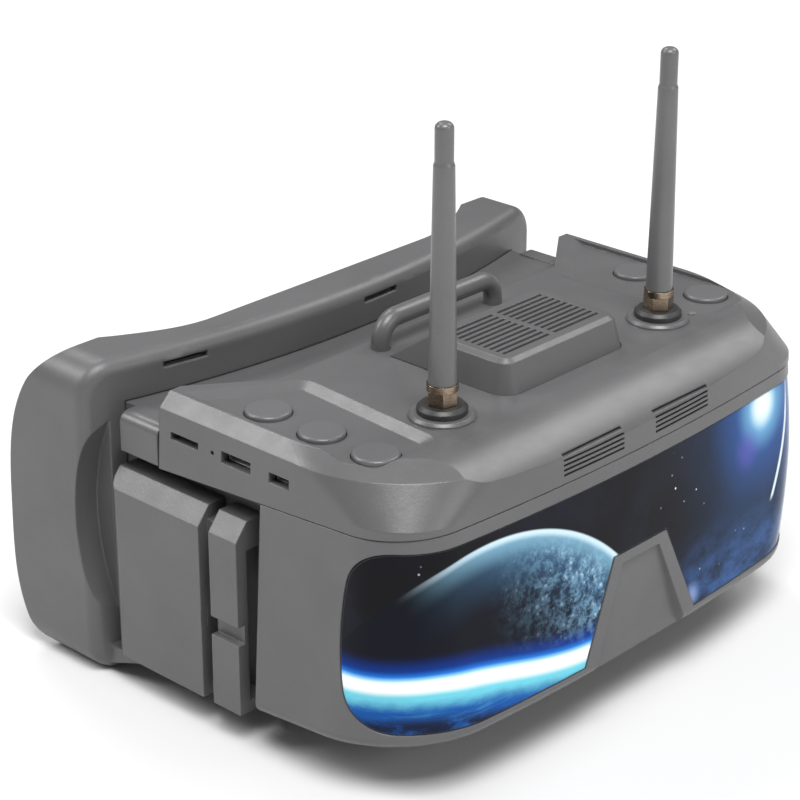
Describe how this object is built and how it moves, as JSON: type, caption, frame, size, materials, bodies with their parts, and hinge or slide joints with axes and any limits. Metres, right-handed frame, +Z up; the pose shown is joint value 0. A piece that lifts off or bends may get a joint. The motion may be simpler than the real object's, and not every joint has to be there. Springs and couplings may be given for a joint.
{
  "type": "fpv goggles",
  "caption": "Head-worn video goggles for flying drones: box housing, glossy printed front, flared face mask and two rod antennas.",
  "frame": {"origin": "on the ground below the middle of the bounding box", "axes": "+Z up, +Y from the glossy front towards the wearer's face, +X to the viewer's right facing the front"},
  "size_m": [0.2, 0.1657, 0.184],
  "materials": {
    "shell_grey": "fine moulded texture",
    "mask_grey": "fine moulded texture",
    "plate_print": "clear gloss over a printed picture",
    "foam": "brushed cloth over soft foam",
    "vent_grey": "fine moulded texture",
    "button_grey": "satin",
    "antenna_grey": "satin moulded rubber",
    "brass": "plated, turned",
    "ring_black": "matt",
    "core_white": "smooth",
    "steel": "zinc plated",
    "black_plastic": "satin",
    "light_trap": "dull black",
    "lens_clear": "clear moulded lens",
    "screen_glass": "dark display glass",
    "board_green": "solder mask",
    "battery_wrap": "foil wrap",
    "can_tin": "tin plated",
    "light_lens": "frosted"
  },
  "bodies": {
    "housing": {"antenna_jack_core_left": "core_white", "antenna_jack_core_right": "core_white", "antenna_jack_left": "brass", "antenna_jack_right": "brass", "antenna_ring_left": "ring_black", "antenna_ring_right": "ring_black", "base_screws": "steel", "battery": "battery_wrap", "board_chips": "black_plastic", "button_board_left": "board_green", "button_board_right": "board_green", "button_switches_left": "black_plastic", "button_switches_right": "black_plastic", "charge_light": "light_lens", "display_frame": "light_trap", "display_panel": "screen_glass", "face_mask": "mask_grey", "faceplate": "plate_print", "fan_frame": "black_plastic", "foam_pad": "foam", "front_shell": "shell_grey", "lens": "lens_clear", "lens_frame": "light_trap", "lens_screws": "steel", "light_hood": "light_trap", "main_board": "board_green", "mask_screws": "steel", "memory_card_socket": "can_tin", "port_board": "board_green", "rear_shell": "shell_grey", "receiver_left": "can_tin", "receiver_right": "can_tin", "speaker": "black_plastic", "strap_loop": "shell_grey", "strap_mount_left": "shell_grey", "strap_mount_right": "shell_grey", "top_cover": "shell_grey", "usb_socket": "can_tin", "vent_cover": "vent_grey", "video_socket": "can_tin"},
    "button_left_rear": {"button_left_rear": "button_grey"},
    "button_left_middle": {"button_left_middle": "button_grey"},
    "button_left_front": {"button_left_front": "button_grey"},
    "button_right_rear": {"button_right_rear": "button_grey"},
    "button_right_front": {"button_right_front": "button_grey"},
    "antenna_left": {"antenna_whip_left": "antenna_grey", "antenna_nut_left": "brass"},
    "antenna_right": {"antenna_whip_right": "antenna_grey", "antenna_nut_right": "brass"},
    "rotor": {"fan_rotor": "black_plastic"}
  },
  "joints": [
    {"name": "press_left_rear", "type": "slide", "parent": "housing", "child": "button_left_rear", "axis": [0, 0, -1], "range_m": [0, 0.0007], "stiffness_N_per_m": 400, "springref_m": -0.0004},
    {"name": "press_left_middle", "type": "slide", "parent": "housing", "child": "button_left_middle", "axis": [0, 0, -1], "range_m": [0, 0.0007], "stiffness_N_per_m": 400, "springref_m": -0.0004},
    {"name": "press_left_front", "type": "slide", "parent": "housing", "child": "button_left_front", "axis": [0, 0, -1], "range_m": [0, 0.0007], "stiffness_N_per_m": 400, "springref_m": -0.0004},
    {"name": "press_right_rear", "type": "slide", "parent": "housing", "child": "button_right_rear", "axis": [0, 0, -1], "range_m": [0, 0.0007], "stiffness_N_per_m": 400, "springref_m": -0.0004},
    {"name": "press_right_front", "type": "slide", "parent": "housing", "child": "button_right_front", "axis": [0, 0, -1], "range_m": [0, 0.0007], "stiffness_N_per_m": 400, "springref_m": -0.0004},
    {"name": "antenna_turn_left", "type": "hinge", "parent": "housing", "child": "antenna_left", "pos_m": [-0.0486, -0.0483, 0.1031], "axis": [0, 0, 1], "continuous": true},
    {"name": "antenna_turn_right", "type": "hinge", "parent": "housing", "child": "antenna_right", "pos_m": [0.0486, -0.0483, 0.1031], "axis": [0, 0, 1], "continuous": true},
    {"name": "fan_spin", "type": "hinge", "parent": "housing", "child": "rotor", "pos_m": [0, -0.03585, 0.096], "axis": [0, 0, 1], "continuous": true}
  ]
}
